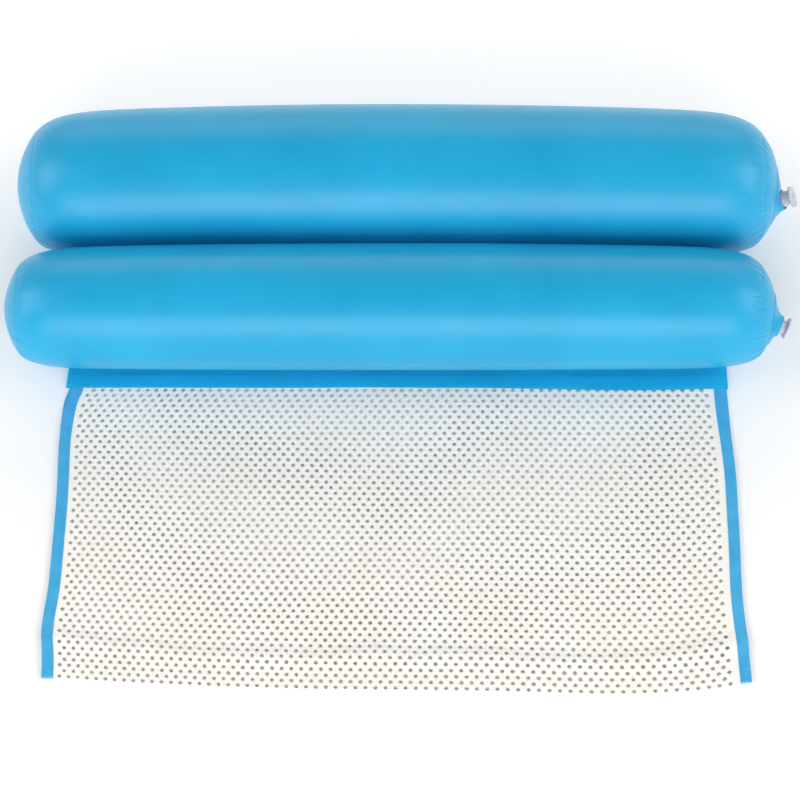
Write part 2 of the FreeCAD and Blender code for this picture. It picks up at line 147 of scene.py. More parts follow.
def binding_finish():
    """Woven polyester tape: fine ribs along and across."""
    tape = Finish("binding_weave", Sheen_Weight=0.25, Sheen_Roughness=0.5)
    tape.colours(tape.noise(60.0, 3.0), (0.028, 0.37, 0.70), (0.055, 0.44, 0.79))
    tape.roughness(tape.noise(300.0), 0.5, 0.7)
    ribs = tape.maths("MULTIPLY", tape.wave("X", 0.9 * MM), tape.wave("Y", 0.7 * MM))
    tape.bumps((tape.noise(180.0), 0.0004, 0.3), (ribs, 0.00016, 0.7))
    return tape.material


def mesh_finish():
    """PVC-coated mesh: white, a little uneven in tint, with the knitted core showing through."""
    mesh = Finish("coated_mesh", Specular_IOR_Level=0.4)
    mesh.colours(mesh.noise(9.0, 4.0, 0.6), (0.94, 0.910, 0.850), (0.96, 0.945, 0.905))
    mesh.roughness(mesh.noise(120.0), 0.42, 0.6)
    core = mesh.maths("ADD", mesh.wave("DIAGONAL", 0.8 * MM, 1.0), mesh.noise(900.0))
    mesh.bumps((core, 0.00006, 0.5))
    return mesh.material


def thread_finish():
    thread = Finish("thread", Sheen_Weight=0.2)
    thread.colours(thread.noise(500.0), (0.02, 0.30, 0.62), (0.05, 0.42, 0.76))
    thread.roughness(thread.noise(900.0), 0.45, 0.65)
    thread.bumps((thread.wave("DIAGONAL", 0.35 * MM), 0.0001, 0.7))
    return thread.material


def clear_finish():
    """Clear soft PVC with a faint lilac tint."""
    clear = Finish("clear_pvc", Transmission_Weight=0.2, IOR=1.45)
    clear.colours(clear.noise(90.0, 2.0), (0.66, 0.64, 0.75), (0.74, 0.72, 0.83))
    clear.roughness(clear.noise(240.0), 0.2, 0.32)
    clear.bumps((clear.noise(420.0), 0.0001, 0.15))
    return clear.material


def floor_finish():
    """White paper with painted light: it glows a little, more towards the back, in place of a
    backdrop lit from behind.
    """
    paper = Finish("white_paper", Specular_IOR_Level=0.1, Emission_Color=(1, 1, 1, 1))
    paper.colours(paper.noise(3.0, 2.0), (0.93, 0.93, 0.93), (0.95, 0.95, 0.95))
    paper.roughness(paper.noise(30.0), 0.75, 0.9)
    behind = paper.node("ShaderNodeSeparateXYZ", {0: paper.place}).outputs["Y"]
    # painted light: emission that rises towards the back of the floor
    painted_backlight = paper.span(behind, 0.1, 0.5, 0.05, 0.32)
    paper.tree.links.new(painted_backlight, paper.shader.inputs["Emission Strength"])
    paper.bumps((paper.noise(900.0), 0.00005, 0.2))
    return paper.material


FILM = film_finish("tube_film", (0.008, 0.345, 0.620), (0.013, 0.390, 0.690), 0.29, 0.38)
STRIP = film_finish("strip_film", (0.010, 0.430, 0.745), (0.016, 0.480, 0.825), 0.38, 0.5)
TAPE = binding_finish()
MESH = mesh_finish()
THREAD = thread_finish()
CLEAR = clear_finish()


# -------- meshes from grids of points

SHARP_EDGE = math.radians(60)  # edges that bend more than this are not smoothed
NO_LENGTH = 1e-12


def unit(vectors):
    """The same directions with length 1."""
    return vectors / np.maximum(np.linalg.norm(vectors, axis=-1, keepdims=True), NO_LENGTH)


def bell(value, middle, width):
    """1 at the middle, falling smoothly to nothing about two widths away."""
    return np.exp(-((value - middle) / width) ** 2)


def smooth_step(share):
    share = np.clip(share, 0, 1)
    return share * share * (3 - 2 * share)


def turns_of(count):
    """Angles of evenly spaced points round a circle."""
    return np.arange(count) * 2 * math.pi / count


def across_tube(angle):
    """Directions at right angles to the X axis; angle 0 is the rear and a quarter turn the top."""
    return np.stack([np.zeros_like(angle), np.cos(angle), np.sin(angle)], axis=-1)


def piece_of(name, points, faces, material):
    mesh = bpy.data.meshes.new(name)
    mesh.from_pydata(np.asarray(points, float).reshape(-1, 3).tolist(), [], faces)
    mesh.shade_smooth()
    mesh.materials.append(material)
    piece = bpy.data.objects.new(name, mesh)
    bpy.context.scene.collection.objects.link(piece)
    return piece


def grid_quads(rows, columns, first=0, closed=False):
    """Quads over a grid of points numbered row by row; closed joins the last column to the first."""
    row = np.arange(rows - 1)[:, None] * columns + first
    column = np.arange(columns if closed else columns - 1)[None, :]
    after = (column + 1) % columns
    corners = [row + column, row + after, row + columns + after, row + columns + column]
    return np.stack(corners, axis=-1).reshape(-1, 4)


def grid_normals(points, closed):
    along = np.gradient(points, axis=0)
    if closed:
        across = np.roll(points, -1, axis=1) - np.roll(points, 1, axis=1)
    else:
        across = np.gradient(points, axis=1)
    return unit(np.cross(across, along))


def thick_grid(name, points, above, below, material, closed=False, flip=False):
    """A solid sheet of film from a grid of points, so far above and below its surface. A closed
    one joins its last column to its first, and flip turns over which side is above."""
    rows, columns, _ = points.shape
    normals = grid_normals(points, closed) * (-1 if flip else 1)
    top = points + normals * above
    bottom = points - normals * below
    count = rows * columns
    upper = grid_quads(rows, columns, 0, closed)
    lower = grid_quads(rows, columns, count, closed)[:, ::-1]
    rings = [np.arange(columns), np.arange(columns)[::-1] + (rows - 1) * columns]
    if not closed:
        rings.append(np.arange(rows)[::-1] * columns)
        rings.append(np.arange(rows) * columns + columns - 1)
    rims = []
    for ring in rings:
        after = np.roll(ring, -1)
        if not (closed and len(ring) == columns):
            ring, after = ring[:-1], after[:-1]
        rims.append(np.stack([after, ring, ring + count, after + count], axis=-1))
    faces = np.concatenate([upper, lower, *rims])
    if flip:
        faces = faces[:, ::-1]
    both = np.concatenate([top.reshape(-1, 3), bottom.reshape(-1, 3)])
    made = piece_of(name, both, faces.tolist(), material)
    made.data.set_sharp_from_angle(angle=SHARP_EDGE)
    return made


def rounded(corners, steps=4):
    """A closed outline with each corner given as u, v and the length cut off beside it, rounded."""
    out = []
    for i, (u, v, cut) in enumerate(corners):
        here = np.array([u, v])
        if cut == 0:
            out.append(here)
            continue
        before = np.array(corners[i - 1][:2]) - here
        after = np.array(corners[(i + 1) % len(corners)][:2]) - here
        start = here + before / np.linalg.norm(before) * cut
        end = here + after / np.linalg.norm(after) * cut
        for t in np.linspace(0, 1, steps + 1):
            out.append((1 - t) ** 2 * start + 2 * t * (1 - t) * here + t ** 2 * end)
    return np.array(out)


def lathe(name, outline, place, material, segments=72):
    """Turn a closed outline of radius and height, in metres, about the outward axis of place."""
    angle = turns_of(segments)
    origin, across, side, out = place
    radial = np.cos(angle)[:, None] * across + np.sin(angle)[:, None] * side
    points = origin + outline[:, 0, None, None] * radial[None] + outline[:, 1, None, None] * out
    count = len(outline)
    faces = grid_quads(count, segments, 0, True).tolist()
    last = (count - 1) * segments
    for i in range(segments):
        j = (i + 1) % segments
        faces.append([last + i, last + j, j, i])
    return piece_of(name, points, faces, material)


RIPPLE_OCTAVES = 3
RIPPLE_PEAK = 1.6 * RIPPLE_OCTAVES  # about how far its waves reach together


def ripple(seed, *coordinates):
    """Smooth, repeatable unevenness from about -1 to 1; coordinates are in turns."""
    random = np.random.default_rng(seed)
    total = 0.0
    for _ in range(RIPPLE_OCTAVES * 2):
        phase = random.uniform(0, 2 * math.pi)
        for coordinate in coordinates:
            phase = phase + coordinate * 2 * math.pi * random.integers(1, RIPPLE_OCTAVES + 1)
            phase = phase * random.choice([-1, 1])
        total = total + np.sin(phase) * random.uniform(0.5, 1.0)
    return total / RIPPLE_PEAK


# -------- the inflated tubes

# Shares of a tube's radius: the height of an end cap beyond its seam, what the sleeve loses along
# its whole length and what it loses and sinks close to its ends, and what is left at the seam.
SEAM_INSET = 0.29
BARREL_TAPER, END_TAPER, END_SINK, END_POWER = 0.05, 0.175, 0.05, 18
SEAM = 1 - BARREL_TAPER - END_TAPER
# The seat of the valve on the right cap: its hole, how far in front of the cap's middle it lies,
# and how high and wide the film rises round it.
SEAT_RADIUS, SEAT_FORWARD = 11.5 * MM, 15 * MM
SEAT_RISE, SEAT_RISE_WIDTH = 2.2 * MM, 17 * MM
FILM_WALL = 0.45 * MM
FILM_SWELL, CAP_SWELL = 0.35 * MM, 0.5 * MM
SEAM_GROOVE, GROOVE_WIDTH = 0.8 * MM, 1.5 * MM
PLEATS = 62
AROUND = 288


class Tube:
    """One inflated tube: its measures from the CAD sleeve, and the pleats at its end seams."""

    def __init__(self, name, bow, seed, pleat_side):
        low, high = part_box(f"{name}_sleeve")
        self.name = name
        self.half = (high.x - low.x) / 2
        outer = (high.z - low.z) / 2
        self.radius = outer - FILM_WALL
        self.middle = np.array([(low.x + high.x) / 2, high.y - outer, low.z + outer])
        self.bow = bow
        self.ball = self.radius * (SEAM ** 2 + SEAM_INSET ** 2) / (2 * SEAM_INSET)
        self.seed = seed
        self.body = "root" if name == "head" else "leg_tube"
        self.pleats = {side: self.make_pleats(seed + side, pleat_side[side]) for side in (-1, 1)}

    def make_pleats(self, seed, facing):
        """Small gathers in the end seam, deepest at the angle called facing: angle, depth, half
        width and length of each."""
        random = np.random.default_rng(seed)
        out = []
        for i in range(PLEATS):
            angle = 2 * math.pi * (i + random.uniform(-0.38, 0.38)) / PLEATS
            near = max(0.0, math.cos(angle - facing)) ** 1.5
            depth = (0.4 + near * random.uniform(0.4, 1.0)) * MM
            if random.uniform() < 0.12:
                depth *= 1.7
            out.append((angle, depth, random.uniform(1.2, 1.9) * MM, random.uniform(4, 11) * MM))
        return out

    def creases(self, side, angle, ring, distance):
        """How deep the pleats of one end are at these angles and distances from the seam."""
        total = 0.0
        for at, depth, width, length in self.pleats[side]:
            apart = (angle - at + math.pi) % (2 * math.pi) - math.pi
            total = total + depth * np.exp(-(apart * ring / width) ** 2 - (distance / length) ** 2)
        return total + SEAM_GROOVE * bell(distance, 0, GROOVE_WIDTH)

    def ring(self, share):
        """Centre and radius of the sleeve at a share, -1 to 1, of the way to its end seams."""
        taper = BARREL_TAPER * share ** 2 + END_TAPER * np.abs(share) ** END_POWER
        sink = BARREL_TAPER * share ** 2 + END_SINK * np.abs(share) ** END_POWER
        x = self.middle[0] + share * self.half
        y = self.middle[1] - self.bow * share ** 2
        z = self.middle[2] - self.radius * sink
        return np.stack([x, y, z], axis=-1), self.radius * (1 - taper)

    def skin(self, share, angle, grow=0.0):
        """Points of the blown-up sleeve; angle 0 is the rear and a quarter turn is the top."""
        centre, radius = self.ring(share)
        end = (1 - np.abs(share)) * self.half
        far = 1.0  # a metre away, where no pleat reaches
        dents = self.creases(-1, angle, SEAM * self.radius, np.where(share < 0, end, far))
        dents = dents + self.creases(1, angle, SEAM * self.radius, np.where(share > 0, end, far))
        top = 0.5 + 0.5 * np.sin(angle)
        swell = FILM_SWELL * ripple(self.seed, share * 0.5, angle / (2 * math.pi)) * top
        out = radius + swell - dents + grow
        return centre + out[..., None] * across_tube(angle)

    def end_frame(self, side):
        """Middle of an end seam, centre of the ball that its cap is a part of, and the direction
        from there to the cap's middle, which on the right is the valve's seat."""
        seam, _ = self.ring(np.array(float(side)))
        middle = seam.copy()
        middle[0] -= side * (self.ball - SEAM_INSET * self.radius)
        if side < 0:
            return seam, middle, np.array([-1.0, 0, 0])
        away = math.sqrt(self.ball ** 2 - SEAT_FORWARD ** 2)
        return seam, middle, np.array([away, -SEAT_FORWARD, 0]) / self.ball

    def dome(self, side, angle, place, hole):
        """Points of an end cap; place is 0 at the seam and 1 at the rim of the hole."""
        seam, middle, out = self.end_frame(side)
        radial = across_tube(angle)
        start = unit(seam + SEAM * self.radius * radial - middle)
        flat = unit(radial - (radial @ out)[..., None] * out)
        tilt = math.asin(hole / self.ball)
        end = out * math.cos(tilt) + flat * math.sin(tilt)
        direction = unit(start * (1 - place)[..., None] + end * place[..., None])
        arc = np.arccos(np.clip(np.sum(start * direction, axis=-1), -1, 1)) * self.ball
        rest = np.arccos(np.clip(direction @ out, -1, 1)) * self.ball
        push = -self.creases(side, angle, SEAM * self.radius, arc * 1.25)
        uneven = CAP_SWELL * ripple(self.seed + side, angle / (2 * math.pi), place * 0.5)
        push = push + uneven * np.minimum(place * 3, 1)
        if side > 0:
            push = push + SEAT_RISE * bell(rest, 0, SEAT_RISE_WIDTH)
        return middle + direction * (self.ball + push)[..., None]


def film_piece(made, tube, node):
    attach(made, tube.body)
    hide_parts(f"{tube.name}_{node}")


def sleeve(tube):
    """The long skin of a tube, with its stations closer together towards its ends."""
    t = np.linspace(-1, 1, 128)
    share = 0.32 * t + 0.68 * np.sin(t * math.pi / 2)
    share, angle = np.meshgrid(share, turns_of(AROUND), indexing="ij")
    points = tube.skin(share, angle)
    name = f"{tube.name}_tube_skin"
    made = thick_grid(name, points, 0.0, FILM_WALL, FILM, closed=True, flip=True)
    film_piece(made, tube, "sleeve")


def end_cap(tube, side):
    """The dome of film at one end; the right one has a hole under the valve's skirt."""
    word = "left" if side < 0 else "right"
    hole = 0.4 * MM if side < 0 else SEAT_RADIUS
    t = np.linspace(0, 1, 44) ** 1.25
    place, angle = np.meshgrid(t, turns_of(AROUND), indexing="ij")
    points = tube.dome(side, angle, place, hole)
    name = f"{tube.name}_end_{word}"
    made = thick_grid(name, points, 0.0, FILM_WALL, FILM, closed=True, flip=side > 0)
    film_piece(made, tube, f"cap_{word}")


def weld_band(tube):
    """The band of film under a tube that its strip is welded to."""
    low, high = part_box(f"{tube.name}_weld_tab")
    x = np.linspace(low.x, high.x, 160)
    y = np.linspace(low.y, high.y, 10)
    x, y = np.meshgrid(x, y, indexing="ij")
    share = (x - tube.middle[0]) / tube.half
    centre, radius = tube.ring(share)
    angle = -np.arccos(np.clip((y - centre[..., 1]) / radius, -1, 1))
    points = tube.skin(share, angle, 0.3 * MM)
    made = thick_grid(f"{tube.name}_weld_band", points, 0.2 * MM, 0.25 * MM, FILM)
    film_piece(made, tube, "weld_tab")


# -------- valves

# Stem, plug and tether are drawn in millimetres from the collar, out along the stem's axis.
STEM_DEPTH, STEM_TOP, STEM_BORE = 8.0, 7.8, 4.5
STEM_RADIUS, WAIST_RADIUS, FLANGE_RADIUS = 7.7, 6.3, 8.7
SPIGOT_RADIUS, DISC_RADIUS = 4.4, 10.0
TETHER_BEND, TETHER_HALF = 11.9, 1.5
COLLAR_RADIUS, SKIRT_WALL = 9.0 * MM, 0.8 * MM
SKIRT_FOOT = 0.66  # where the skirt starts: 0 is the end seam, 1 the rim of the valve's hole
FLAP_RADIUS, FLAP_DROP = 5.6 * MM, 8.35 * MM


def stem_place(name):
    """The valve's place from its joints: the collar's middle, the directions across, side and
    out along the stem, and how far the stem stands pushed out."""
    push = JOINTS[f"{name}_valve_push"]
    flap = JOINTS[f"{name}_flap_hinge"]
    out = unit(-np.array(push["axis"], float))
    side = unit(np.array(flap["axis"], float))
    across = np.cross(side, out)
    origin = np.array(flap["pos_m"], float) + across * FLAP_RADIUS + out * FLAP_DROP
    return origin, across, side, out, -push["range_m"][0]


def skirt(tube):
    """The soft flare from the end cap to the collar round the stem."""
    origin, _, _, out, pushed = stem_place(tube.name)
    collar = origin + out * pushed
    angle = turns_of(96)
    _, _, seat = tube.end_frame(1)
    place = np.full_like(angle, SKIRT_FOOT)
    foot = tube.dome(1, angle, place, SEAT_RADIUS)
    inward = unit(tube.dome(1, angle, place + 0.03, SEAT_RADIUS) - foot)
    foot = foot + seat * 0.05 * MM
    around = foot - collar
    around = unit(around - (around @ out)[:, None] * out)
    rim = collar + around * COLLAR_RADIUS
    t = np.linspace(0, 1, 30)[:, None, None]
    reach = np.linalg.norm(rim - foot, axis=-1, keepdims=True)
    # A cubic curve that leaves the foot along the cap and meets the collar along the stem.
    curve = ((2 * t ** 3 - 3 * t ** 2 + 1) * foot + (t ** 3 - 2 * t ** 2 + t) * inward * reach
             + (3 * t ** 2 - 2 * t ** 3) * rim + (t ** 3 - t ** 2) * out * reach * 0.9)
    made = thick_grid(f"{tube.name}_skirt", curve, 0.0, SKIRT_WALL, FILM, closed=True, flip=True)
    film_piece(made, tube, "valve_skirt")


def stem_outline():
    """A tube with a flange at its foot and a waist under its lip."""
    lip = 7.2
    return rounded([
        (STEM_BORE, -STEM_DEPTH, 0.2), (FLANGE_RADIUS, -STEM_DEPTH, 0.3),
        (FLANGE_RADIUS, 1 - STEM_DEPTH, 0.3), (STEM_RADIUS, 1.6 - STEM_DEPTH, 0.3),
        (STEM_RADIUS, 1.6, 1.2), (WAIST_RADIUS, 5.4, 1.2), (lip, 7.0, 0.5),
        (lip, STEM_TOP, 0.35), (STEM_BORE, STEM_TOP, 0.3)]) * MM


def plug_outline():
    """A hollow spigot under a disc that has a raised rim and a raised middle."""
    seat = STEM_TOP + 0.1
    tip = STEM_TOP - 6
    pole = 0.02
    return rounded([
        (pole, tip + 3.5, 0), (2.2, tip + 3.5, 0.4), (3.0, tip, 0.4), (4.0, tip, 0.3),
        (SPIGOT_RADIUS, tip + 1.5, 0.4), (SPIGOT_RADIUS, seat, 0), (DISC_RADIUS, seat, 0.35),
        (DISC_RADIUS, seat + 2.0, 0.6), (8.9, seat + 2.0, 0.3), (8.5, seat + 1.6, 0.3),
        (3.4, seat + 1.6, 0.3), (3.0, seat + 2.0, 0.3), (pole, seat + 1.9, 0)]) * MM


def tether_route(low, top):
    """The strap's way from the stem's lip out, round its bend and back to the plug's disc."""
    bend = TETHER_BEND
    route = [(7.3, low), (9.6, low), (bend - 0.2, low), (bend + 0.1, (low + top) / 2),
             (bend - 0.2, top), (11.0, top), (9.9, top)]
    t = np.linspace(0, 1, 28)
    knots = np.linspace(0, 1, len(route))
    centre = np.stack([np.interp(t, knots, [p[k] for p in route]) for k in (0, 1)], axis=-1)
    for _ in range(3):
        centre[1:-1] = (centre[:-2] + 2 * centre[1:-1] + centre[2:]) / 4
    return centre * MM


def valve(tube):
    """Stem, stopper plug and the plug's strap; the check flap inside keeps its CAD shape."""
    origin, across, side, out, _ = stem_place(tube.name)
    place = (origin, across, side, out)
    stem = lathe(f"{tube.name}_stem", stem_outline(), place, CLEAR)
    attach(stem, f"{tube.name}_valve")
    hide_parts(f"{tube.name}_valve_stem")
    plug = lathe(f"{tube.name}_plug_disc", plug_outline(), place, CLEAR)
    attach(plug, f"{tube.name}_plug")
    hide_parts(f"{tube.name}_valve_plug")

    low, top = STEM_TOP - 1.2, STEM_TOP + 0.9
    centre = tether_route(low, top)[:, None, None]
    width = np.linspace(-TETHER_HALF, TETHER_HALF, 7)[None, :, None] * MM
    points = origin + centre[..., 0] * across + centre[..., 1] * out + width * side
    strap = thick_grid(f"{tube.name}_plug_strap", points, 0.4 * MM, 0.4 * MM, CLEAR)
    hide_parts(f"{tube.name}_plug_tether")
    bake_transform(strap)
    flap = frame["nodes"][f"{tube.name}_check_flap"]
    flap.data.materials.clear()
    flap.data.materials.append(CLEAR)


# -------- the mesh panel

MESH_HALF, TAPE_HALF = 0.3 * MM, 0.7 * MM  # half thicknesses
TAPE_WIDTH, TAPE_WALL = 10.5 * MM, 0.42 * MM
MESH_WIDTH = 600 * MM
COLUMNS, ROW_PITCH = 71, 5.45 * MM
HOLE_ACROSS, HOLE_ALONG = 1.85 * MM, 1.72 * MM  # half widths
PLAIN_MARGIN, PINHOLE = 15.5 * MM, 0.1
TURN_ROWS = 2  # rows of holes on each side of the fold that belong to the turn
BORDER = TURN_ROWS * ROW_PITCH
FOLD_TOP = 3.0 * MM
CROWDING = 0.045  # how much closer the holes stand at the left than at the right, at the fold
VISIBLE_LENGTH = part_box("leg_strip_top")[0].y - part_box("mesh_lower")[0].y
BILLOW_ROWS, BILLOW_COLUMNS = 61, 121
EDGE_SHARE = 0.962  # nearer to the edge than this the fabric is as even as its tape
END_MARGIN = 3 * MM  # fabric beyond the last row of holes
STITCH_PITCH = 5.8 * MM
STITCH_SHARE = 1 - 7.6 / 302  # 7.6 mm inside an edge that is 302 mm from the middle
STITCH_MARGIN = 4 * MM


def edges_at(node, rear):
    """Left and right edge of a mesh node at its front or rear end."""
    points = np.array([v.co for v in frame["nodes"][node].data.vertices])
    end = points[:, 1].max() if rear else points[:, 1].min()
    xs = points[np.abs(points[:, 1] - end) < 0.2 * MM, 0]
    return xs.min() - 0.4 * MM, xs.max() + 0.4 * MM


def cubic(grid, s, q):
    """Read a grid of points smoothly: rows are q from 0 to 1, columns are s from -1 to 1."""
    rows, columns, _ = grid.shape
    a = np.clip(q, 0, 1) * (rows - 1)
    b = np.clip((s + 1) / 2, 0, 1) * (columns - 1)

    def weights(x, count):
        first = np.clip(np.floor(x).astype(int), 0, count - 2)
        t = x - first
        share = [(-t + 2 * t ** 2 - t ** 3) / 2, (2 - 5 * t ** 2 + 3 * t ** 3) / 2,
                 (t + 4 * t ** 2 - 3 * t ** 3) / 2, (t ** 3 - t ** 2) / 2]
        places = [np.clip(first + k, 0, count - 1) for k in (-1, 0, 1, 2)]
        return list(zip(places, share))

    total = 0.0
    for i, u in weights(a, rows):
        for j, v in weights(b, columns):
            total = total + grid[i, j] * (u * v)[..., None]
    return total


class Layer:
    """One layer of the folded panel, flat on the whole, with its edges and its unevenness. Its
    places are s, from -1 at the left edge to 1 at the right, and q, 0 at the fold and 1 at the
    front edge of the strip."""

    def __init__(self, name, strip):
        low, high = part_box(f"mesh_{name}")
        self.name = name
        self.height = (low.z + high.z) / 2
        self.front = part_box("mesh_lower")[0].y
        self.lap_end = high.y
        self.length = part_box(f"{strip}_strip_top")[0].y - self.front
        self.reach = (self.lap_end - self.front) / self.length
        self.fold_edges = edges_at(f"mesh_{name}", False)
        self.lap_edges = edges_at(f"mesh_{name}", True)
        self.unevenness = None

    def fold_line(self, s):
        """How far the fold lies behind its middle: the corners are drawn back."""
        left = 9.4 * np.abs(s) ** 2 - 2.6 * s
        right = 11.6 * np.abs(s) ** 9 - 3.4 * s - 1.8 * bell(s, 0.62, 0.2)
        return (np.where(s < 0, left, 0) + np.where(s > 0, right, 0)) * MM

    def edge_shift(self, q):
        """How far the left and right edges stand outside their straight line."""
        ahead = (VISIBLE_LENGTH - np.minimum(q, 1) * self.length) / MM
        left = -4.0 * bell(ahead, 0, 12) + 3.2 * bell(ahead, 50, 45) + 3.6 * bell(ahead, 245, 30)
        right = 3.0 + 1.5 * bell(ahead, 85, 35) - 2.4 * bell(ahead, 205, 45)
        return left * MM, right * MM

    def plain(self, s, q):
        """The layer without billows."""
        share = q / self.reach
        shift = self.edge_shift(q)
        left = self.fold_edges[0] + (self.lap_edges[0] - self.fold_edges[0]) * share - shift[0]
        right = self.fold_edges[1] + (self.lap_edges[1] - self.fold_edges[1]) * share + shift[1]
        growth = -0.6 if self.name == "upper" else 1.1
        even = s + CROWDING * (s ** 2 - 1) * (1 + growth * np.minimum(q, 1))
        x = left + (right - left) * (even + 1) / 2
        y = self.front + self.fold_line(s) + q * (self.length - self.fold_line(s))
        z = np.full_like(x, self.height)
        if self.name == "upper":
            z = z + (FOLD_TOP - self.height) * (1 - np.minimum(q, 1))
        return np.stack([x, y, z], axis=-1)

    def grid(self):
        """The s and q of the grid that holds the layer's unevenness."""
        across, along = np.linspace(-1, 1, BILLOW_COLUMNS), np.linspace(0, 1, BILLOW_ROWS)
        s, share = np.meshgrid(across, along)
        return s, share * self.reach

    def points(self, s, q):
        inner = np.clip(s, -EDGE_SHARE, EDGE_SHARE)
        return self.plain(s, q) + cubic(self.unevenness, inner, q / self.reach)


def window(q, fold=0.12, strip=0.22):
    """0 at the fold and at the strip, 1 between them."""
    return smooth_step(q / fold) * smooth_step((1 - q) / strip)


def square(name, half, height, material):
    corners = [(x * half, y * half, height) for x, y in ((-1, -1), (1, -1), (1, 1), (-1, 1))]
    return piece_of(name, corners, [[0, 1, 2, 3]], material)


def settled(start, fixed, table_height):
    """Where a cloth comes to rest that starts at a grid of points, is held at the fixed ones and
    has a table under it. Worked ten times larger, so that it is steady."""
    rows, columns, _ = start.shape
    scale = 10.0
    cloth = piece_of("cloth_trial", start * scale, grid_quads(rows, columns).tolist(), MESH)
    held = cloth.vertex_groups.new(name="held")
    index = np.arange(rows * columns).reshape(rows, columns)
    held.add(index[fixed].tolist(), 1.0, "REPLACE")
    table = square("table_trial", 6, table_height * scale, MESH)
    table.modifiers.new("Collision", "COLLISION")
    table.collision.thickness_outer = 0.002
    table.collision.cloth_friction = 8
    modifier = cloth.modifiers.new("Cloth", "CLOTH")
    settings = modifier.settings
    settings.quality = 6
    settings.mass = 0.25
    settings.tension_stiffness = 30
    settings.compression_stiffness = 30
    settings.shear_stiffness = 12
    settings.bending_stiffness = 12
    settings.air_damping = 3
    settings.shrink_min = -0.006
    settings.vertex_group_mass = "held"
    modifier.collision_settings.distance_min = 0.003
    modifier.collision_settings.collision_quality = 3
    modifier.collision_settings.use_self_collision = False
    frames = range(1, 37)
    modifier.point_cache.frame_start = frames[0]
    modifier.point_cache.frame_end = frames[-1]
    scene = bpy.context.scene
    for number in frames:
        scene.frame_set(number)
    evaluated = cloth.evaluated_get(bpy.context.evaluated_depsgraph_get())
    points = np.zeros(rows * columns * 3)
    evaluated.data.vertices.foreach_get("co", points)
    scene.frame_set(1)
    for made in (cloth, table):
        bpy.data.objects.remove(made)
    return points.reshape(rows, columns, 3) / scale


def draped(layer):
    """Billows of the upper layer: a cloth held at the fold and at the strip, a little too
    large, settles on the layer under it."""
    s, q = layer.grid()
    base = layer.plain(s, q)
    seed = np.stack([ripple(5, s * 0.5, q * 0.5), ripple(6, s * 0.5, q * 0.5),
                     ripple(7, s * 0.9, q * 0.7)], axis=-1)
    fade = (window(q, 0.3, 0.2) * (1 - s ** 6))[..., None]
    guess = seed * np.array([1.5, 1.3, 0.9]) * MM * fade
    guess[..., 2] += 1.2 * MM * window(q)
    fixed = (q > 0.985) | (q < 0.012)
    extra = settled(base + guess, fixed, layer.height - 0.5 * MM) - base
    extra[..., 2] = np.clip(extra[..., 2], 0, 7 * MM)
    extra[..., :2] = np.clip(extra[..., :2], -4 * MM, 4 * MM)
    extra[..., :2] *= window(q, 0.45, 0.2)[..., None]
    extra[..., 2] *= window(q) * 0.6
    return extra


def waves_of(layer):
    """Unevenness of the lower layer, too low to reach the upper one."""
    s, q = layer.grid()
    wave = np.stack([ripple(15, s * 0.8, q * 0.5), ripple(16, s * 0.8, q * 0.5),
                     0.5 + 0.5 * ripple(17, s, q)], axis=-1)
    fade = (window(q) * (1 - s ** 6))[..., None]
    return wave * np.array([3.0, 2.4, 0.35]) * MM * fade


UPPER = Layer("upper", "leg")
LOWER = Layer("lower", "head")
UPPER.unevenness = draped(UPPER)
LOWER.unevenness = waves_of(LOWER)
TURN_RADIUS = (FOLD_TOP - LOWER.height) / 2
TURN_HALF = TURN_RADIUS * math.pi / 2
TURN_MIDDLE = (FOLD_TOP + LOWER.height) / 2


def panel(s, along):
    """Middle surface of the fabric and its outer side; along is 0 at the fold, below 0 on the
    upper layer and above 0 on the lower one, in metres."""
    s, along = np.broadcast_arrays(np.asarray(s, float), np.asarray(along, float))
    away = np.maximum(np.abs(along) - TURN_HALF, 0)
    aside, step = 0.002, 0.5 * MM
    on_top = (along < 0)[..., None]

    def layers(s, away):
        above = UPPER.points(s, away / UPPER.length)
        below = LOWER.points(s, away / LOWER.length)
        return np.where(on_top, above, below)

    here = layers(s, away)
    across = layers(s + aside, away) - here
    onward = layers(s, away + step) - here
    normal = unit(np.cross(across, onward)) * np.where(on_top, 1, -1)
    turn = np.clip(along / TURN_RADIUS, -math.pi / 2, math.pi / 2)
    bent = (np.abs(along) < TURN_HALF)[..., None]
    around = here.copy()
    around[..., 1] = here[..., 1] - TURN_RADIUS * np.cos(turn)
    around[..., 2] = TURN_MIDDLE - TURN_RADIUS * np.sin(turn)
    return np.where(bent, around, here), np.where(bent, -across_tube(turn), normal)


def ring_pattern(sides, corner_x, corner_low, corner_high):
    """Triangles between a hexagon cell, corners 0 to 5, and the hole in it, points 6 onward."""
    corners = [(corner_x, corner_low), (0, corner_high), (-corner_x, corner_low),
               (-corner_x, -corner_low), (0, -corner_high), (corner_x, -corner_low)]
    outer = [math.atan2(y, x) % (2 * math.pi) for x, y in corners]
    inner = [2 * math.pi * k / sides for k in range(sides)]
    triangles = []
    i, k = 0, 0
    while i < 6 or k < sides:
        next_outer = outer[(i + 1) % 6] + (2 * math.pi if i + 1 >= 6 else 0)
        next_inner = inner[(k + 1) % sides] + (2 * math.pi if k + 1 >= sides else 0)
        if k >= sides or (i < 6 and next_outer < next_inner):
            triangles.append((i % 6, (i + 1) % 6, 6 + k % sides))
            i += 1
        else:
            triangles.append((i % 6, 6 + (k + 1) % sides, 6 + k % sides))
            k += 1
    return triangles


